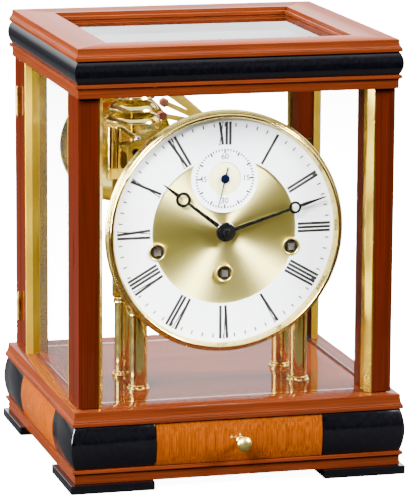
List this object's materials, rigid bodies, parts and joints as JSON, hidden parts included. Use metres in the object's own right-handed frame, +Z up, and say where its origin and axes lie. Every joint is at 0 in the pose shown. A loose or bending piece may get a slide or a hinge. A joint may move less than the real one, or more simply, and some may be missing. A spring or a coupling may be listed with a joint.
{
  "type": "mantel clock",
  "caption": "Mantel clock with a glazed wooden case, black bands, round dial, striking bells on a movement that stands on brass columns, opening doors and a drawer in the base",
  "frame": {"origin": "middle of the outline of the whole clock at the level of the surface it stands on", "axes": "+X to the right seen from the front, +Y to the back, +Z up"},
  "size_m": [0.239, 0.2444, 0.305],
  "materials": {
    "wood": "gloss",
    "black_lacquer": "satin",
    "brass": "polished",
    "gold_dial": "brushed",
    "glass": "clear",
    "white_dial": "satin",
    "black_steel": "satin",
    "steel": "polished",
    "drawer_wood": "matte"
  },
  "bodies": {
    "case": {"feet": "black_lacquer", "plinth_moulding": "wood", "base_corners": "black_lacquer", "base_side_panels": "wood", "base_panel_back": "wood", "base_board": "wood", "post_front_left": "wood", "post_front_right": "wood", "post_back_left": "wood", "post_back_right": "wood", "side_glass_left": "glass", "side_glass_right": "glass", "side_trims": "brass", "crown_lower_moulding": "wood", "crown_band": "black_lacquer", "crown_top_frame": "wood", "top_glass": "glass", "top_glass_bead": "wood", "case_hinge_leaves": "brass", "hinge_pins": "brass", "movement_columns": "brass", "front_plate": "brass", "back_plate": "brass", "plate_pillars": "brass", "mainspring_barrels": "brass", "dial_plate": "gold_dial", "chapter_ring": "white_dial", "seconds_dial": "white_dial", "bezel": "brass", "bell_stand": "brass", "chime_bells": "brass", "hammer_frame": "brass", "hour_bell": "brass", "hour_bell_studs": "steel"},
    "drawer": {"drawer_front": "wood", "drawer_tray": "drawer_wood", "drawer_knob": "brass"},
    "front_door": {"front_stile_left": "wood", "front_stile_right": "wood", "front_door_trims": "brass", "front_glass": "glass", "front_door_hinge_leaves": "brass"},
    "back_door": {"back_stile_left": "wood", "back_stile_right": "wood", "back_door_trims": "brass", "back_glass": "glass", "back_door_hinge_leaves": "brass"},
    "minute_hand": {"minute_hand": "black_steel", "hand_nut": "brass"},
    "hour_hand": {"hour_hand": "black_steel"},
    "seconds_hand": {"seconds_hand": "black_steel"},
    "winding_arbor_left": {"winding_arbor_left": "steel"},
    "winding_arbor_right": {"winding_arbor_right": "steel"},
    "winding_arbor_low": {"winding_arbor_low": "steel"},
    "balance_wheel": {"balance_wheel": "brass"},
    "hour_hammer": {"hour_hammer": "brass"},
    "chime_hammer_1": {"chime_hammer_1": "brass"},
    "chime_hammer_2": {"chime_hammer_2": "brass"},
    "chime_hammer_3": {"chime_hammer_3": "brass"},
    "chime_hammer_4": {"chime_hammer_4": "brass"}
  },
  "joints": [
    {"name": "drawer_slide", "type": "slide", "parent": "case", "child": "drawer", "axis": [0, -1, 0], "range_m": [0, 0.09]},
    {"name": "front_door_hinge", "type": "hinge", "parent": "case", "child": "front_door", "pos_m": [0.1129, -0.0811, 0.16375], "axis": [0, 0, 1], "range_deg": [0, 110]},
    {"name": "back_door_hinge", "type": "hinge", "parent": "case", "child": "back_door", "pos_m": [-0.1129, 0.0949, 0.16375], "axis": [0, 0, 1], "range_deg": [0, 110]},
    {"name": "minute_spin", "type": "hinge", "parent": "case", "child": "minute_hand", "pos_m": [0, -0.0501, 0.1695], "axis": [0, 1, 0], "continuous": true},
    {"name": "hour_spin", "type": "hinge", "parent": "case", "child": "hour_hand", "pos_m": [0, -0.0501, 0.1695], "axis": [0, 1, 0], "continuous": true},
    {"name": "seconds_spin", "type": "hinge", "parent": "case", "child": "seconds_hand", "pos_m": [0, -0.0501, 0.2062], "axis": [0, 1, 0], "continuous": true},
    {"name": "winding_left", "type": "hinge", "parent": "case", "child": "winding_arbor_left", "pos_m": [-0.048, -0.0501, 0.1565], "axis": [0, 1, 0], "continuous": true},
    {"name": "winding_right", "type": "hinge", "parent": "case", "child": "winding_arbor_right", "pos_m": [0.048, -0.0501, 0.1565], "axis": [0, 1, 0], "continuous": true},
    {"name": "winding_low", "type": "hinge", "parent": "case", "child": "winding_arbor_low", "pos_m": [0, -0.0501, 0.1395], "axis": [0, 1, 0], "continuous": true},
    {"name": "balance_swing", "type": "hinge", "parent": "case", "child": "balance_wheel", "pos_m": [0, -0.02635, 0.2115], "axis": [0, 1, 0], "range_deg": [-150, 150]},
    {"name": "chime_hammer_1_lift", "type": "hinge", "parent": "case", "child": "chime_hammer_1", "pos_m": [0.002, -0.0303, 0.238], "axis": [0, 1, 0], "range_deg": [0, 8]},
    {"name": "chime_hammer_2_lift", "type": "hinge", "parent": "case", "child": "chime_hammer_2", "pos_m": [0.002, -0.0249, 0.238], "axis": [0, 1, 0], "range_deg": [0, 8]},
    {"name": "chime_hammer_3_lift", "type": "hinge", "parent": "case", "child": "chime_hammer_3", "pos_m": [0.002, -0.0195, 0.238], "axis": [0, 1, 0], "range_deg": [0, 8]},
    {"name": "chime_hammer_4_lift", "type": "hinge", "parent": "case", "child": "chime_hammer_4", "pos_m": [0.002, -0.0141, 0.238], "axis": [0, 1, 0], "range_deg": [0, 8]},
    {"name": "hour_hammer_lift", "type": "hinge", "parent": "case", "child": "hour_hammer", "pos_m": [-0.009, 0.0269, 0.196], "axis": [0, 1, 0], "range_deg": [0, 14]}
  ],
  "couplings": [
    {"joint": "hour_spin", "follows": "minute_spin", "ratio": 0.083333}
  ]
}
